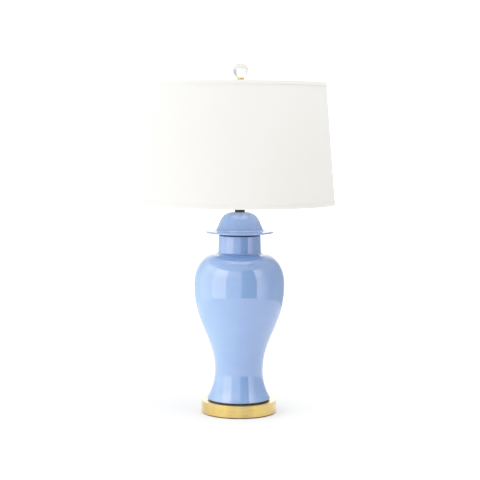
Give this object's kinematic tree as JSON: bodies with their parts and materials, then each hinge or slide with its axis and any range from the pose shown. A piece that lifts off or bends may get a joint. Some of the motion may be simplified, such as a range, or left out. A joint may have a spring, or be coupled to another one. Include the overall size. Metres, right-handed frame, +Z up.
{
  "type": "table lamp with shade",
  "caption": "Table lamp: a glazed lidded jar on a round brass base, under a tapered fabric drum shade hung on a harp, with a glass ball finial.",
  "frame": {"origin": "centre of the felt pad's underside, where the lamp rests", "axes": "+Z up along the lamp pipe; -Y is the front, where the switch knob points; +Y is the rear, where the cord enters; +X is the lamp's right as seen from the front"},
  "size_m": [0.429, 0.429, 0.7873],
  "materials": {
    "glaze": "pale blue gloss glaze",
    "brass": "satin, lacquered",
    "bronze": "dark oil-rubbed",
    "steel": "zinc plated",
    "felt": "black felt",
    "nylon": "moulded",
    "fibre": "pressed grey fibre",
    "phenolic": "moulded black",
    "opal_glass": "frosted inside",
    "styrene": "smooth white sheet",
    "linen": "off-white plain weave",
    "clear_glass": "polished solid ball"
  },
  "bodies": {
    "lamp_stand": {"base_felt": "felt", "base_plinth": "brass", "cord_bushing": "nylon", "pipe_washer": "steel", "pipe_nut": "steel", "lamp_pipe": "steel", "foot_gasket": "felt", "jar": "glaze", "lid_gasket": "felt", "lid": "glaze", "neck_collar": "bronze", "harp_saddle": "brass", "socket_cap": "brass", "socket_shell": "brass", "socket_insulator": "fibre", "socket_core": "phenolic", "screw_shell": "brass", "centre_contact": "brass", "terminal_screw_left": "brass", "terminal_screw_right": "brass", "harp_wire": "brass", "harp_stud": "brass"},
    "left_sleeve": {"harp_sleeve_left": "brass"},
    "right_sleeve": {"harp_sleeve_right": "brass"},
    "switch": {"switch_stem": "brass", "switch_knob": "phenolic"},
    "bulb": {"bulb_tip": "steel", "bulb_base": "steel", "bulb_glass": "opal_glass"},
    "shade": {"spider_washer": "brass", "spider_arm_front": "brass", "spider_arm_left": "brass", "spider_arm_right": "brass", "shade_ring_top": "brass", "shade_ring_bottom": "brass", "shade_liner": "styrene", "shade_fabric": "linen", "shade_trim_top": "linen", "shade_trim_bottom": "linen"},
    "finial": {"finial_base": "brass", "finial_ball": "clear_glass"}
  },
  "joints": [
    {"name": "shade_turn", "type": "hinge", "parent": "lamp_stand", "child": "shade", "pos_m": [0, 0, 0.7302], "axis": [0, 0, 1], "continuous": true},
    {"name": "finial_turn", "type": "hinge", "parent": "lamp_stand", "child": "finial", "pos_m": [0, 0, 0.745], "axis": [0, 0, 1], "continuous": true},
    {"name": "bulb_turn", "type": "hinge", "parent": "lamp_stand", "child": "bulb", "pos_m": [0, 0, 0.515], "axis": [0, 0, 1], "continuous": true},
    {"name": "switch_turn", "type": "hinge", "parent": "lamp_stand", "child": "switch", "pos_m": [0, -0.03, 0.492], "axis": [0, -1, 0], "continuous": true},
    {"name": "left_sleeve_slide", "type": "slide", "parent": "lamp_stand", "child": "left_sleeve", "axis": [0, 0, 1], "range_m": [0, 0.015]},
    {"name": "right_sleeve_slide", "type": "slide", "parent": "lamp_stand", "child": "right_sleeve", "axis": [0, 0, 1], "range_m": [0, 0.015]}
  ]
}
